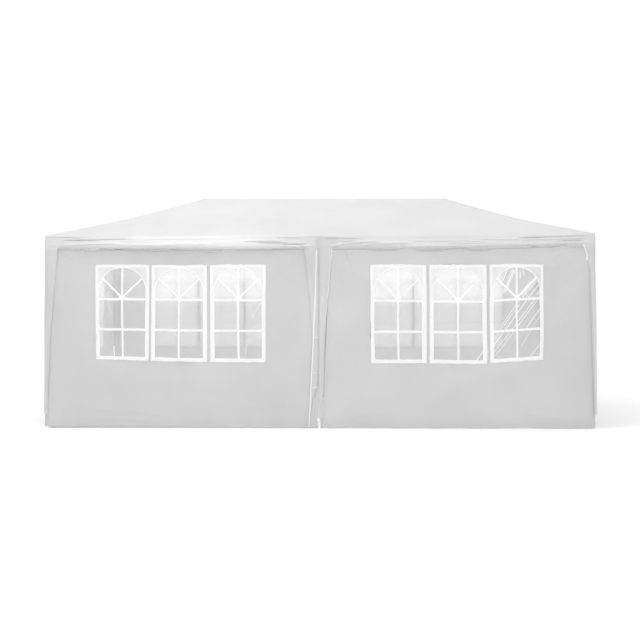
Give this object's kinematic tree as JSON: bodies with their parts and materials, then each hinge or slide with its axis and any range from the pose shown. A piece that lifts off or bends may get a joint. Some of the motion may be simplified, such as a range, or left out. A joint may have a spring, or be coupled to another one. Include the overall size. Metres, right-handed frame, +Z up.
{
  "type": "marquee tent",
  "caption": "White party tent with a hipped sheet roof, window walls, a roll-up end door and a frame of steel tube.",
  "frame": {"origin": "on the ground, under the middle of the tent", "axes": "+X along the length, towards the end with the doorway; +Y towards the back; +Z up"},
  "size_m": [6, 3, 2.65],
  "materials": {
    "white_steel": "white powder coat, satin",
    "white_plastic": "moulded, fine matt grain",
    "roof_sheet": "woven polyethylene, coated, semi-gloss",
    "wall_sheet": "woven polyethylene, coated, satin",
    "window_film": "clear soft vinyl film, glossy, creased"
  },
  "bodies": {
    "root": {"corner_connector_back_left": "white_plastic", "corner_connector_back_right": "white_plastic", "corner_connector_front_left": "white_plastic", "corner_connector_front_right": "white_plastic", "door_roll": "wall_sheet", "door_wall_back": "wall_sheet", "door_wall_front": "wall_sheet", "door_wall_head": "wall_sheet", "eave_connector_back": "white_plastic", "eave_connector_front": "white_plastic", "eave_tube_back_left": "white_steel", "eave_tube_back_right": "white_steel", "eave_tube_front_left": "white_steel", "eave_tube_front_right": "white_steel", "eave_tube_left_end": "white_steel", "eave_tube_right_end": "white_steel", "hip_rafter_back_left": "white_steel", "hip_rafter_back_right": "white_steel", "hip_rafter_front_left": "white_steel", "hip_rafter_front_right": "white_steel", "leg_back_left": "white_steel", "leg_back_middle": "white_steel", "leg_back_right": "white_steel", "leg_drape_back_left": "roof_sheet", "leg_drape_back_middle": "roof_sheet", "leg_drape_back_right": "roof_sheet", "leg_drape_front_left": "roof_sheet", "leg_drape_front_middle": "roof_sheet", "leg_drape_front_right": "roof_sheet", "leg_front_left": "white_steel", "leg_front_middle": "white_steel", "leg_front_right": "white_steel", "middle_rafter_back": "white_steel", "middle_rafter_front": "white_steel", "ridge_connector_left": "white_plastic", "ridge_connector_middle": "white_plastic", "ridge_connector_right": "white_plastic", "ridge_tube_left": "white_steel", "ridge_tube_right": "white_steel", "roof_panel_back": "roof_sheet", "roof_panel_front": "roof_sheet", "roof_panel_left": "roof_sheet", "roof_panel_right": "roof_sheet", "valance_back": "roof_sheet", "valance_front": "roof_sheet", "valance_left": "roof_sheet", "valance_right": "roof_sheet", "wall_back_left": "wall_sheet", "wall_back_right": "wall_sheet", "wall_front_left": "wall_sheet", "wall_front_right": "wall_sheet", "wall_left_end": "wall_sheet", "window_film_back_left": "window_film", "window_film_back_right": "window_film", "window_film_front_left": "window_film", "window_film_front_right": "window_film", "window_film_left_end": "window_film"}
  },
  "joints": []
}
